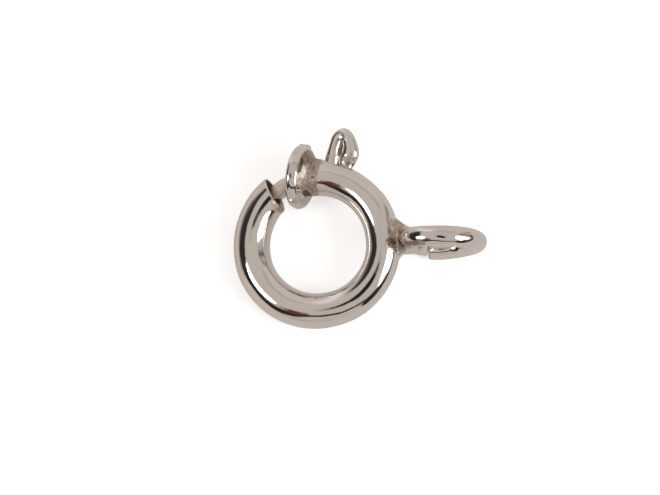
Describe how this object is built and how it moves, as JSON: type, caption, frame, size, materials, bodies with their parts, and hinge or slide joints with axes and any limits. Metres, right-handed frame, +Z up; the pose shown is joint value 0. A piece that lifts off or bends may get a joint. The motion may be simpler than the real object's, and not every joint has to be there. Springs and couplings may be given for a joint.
{
  "type": "spring ring clasp",
  "caption": "Round spring ring clasp for a chain: a hollow ring with a gap, a sprung bolt with a thumb trigger that closes it, a round collar, and a jump ring soldered to its side.",
  "frame": {"origin": "middle of the bounding box on the surface that the clasp lies on", "axes": "+Z up from the surface; +X from the hollow ring towards the soldered jump ring; +Y towards the trigger's side"},
  "size_m": [0.0136, 0.0106, 0.0046],
  "materials": {
    "polished_silver": "polished sterling silver, with brown tarnish at the solder joints",
    "bolt_silver": "drawn silver wire, satin on the bolt and polished on the trigger",
    "spring_wire": "bare drawn spring steel"
  },
  "bodies": {
    "ring": {"ring_body": "polished_silver", "spring": "spring_wire"},
    "bolt": {"bolt": "bolt_silver"}
  },
  "joints": [
    {"name": "bolt_draw", "type": "hinge", "parent": "ring", "child": "bolt", "pos_m": [-0.0023, -0.00081, 0.00147], "axis": [0.1204, 0.0889, -0.9887], "range_deg": [0, 24], "stiffness_Nm_per_rad": 0.005, "deforming": ["spring"]}
  ]
}
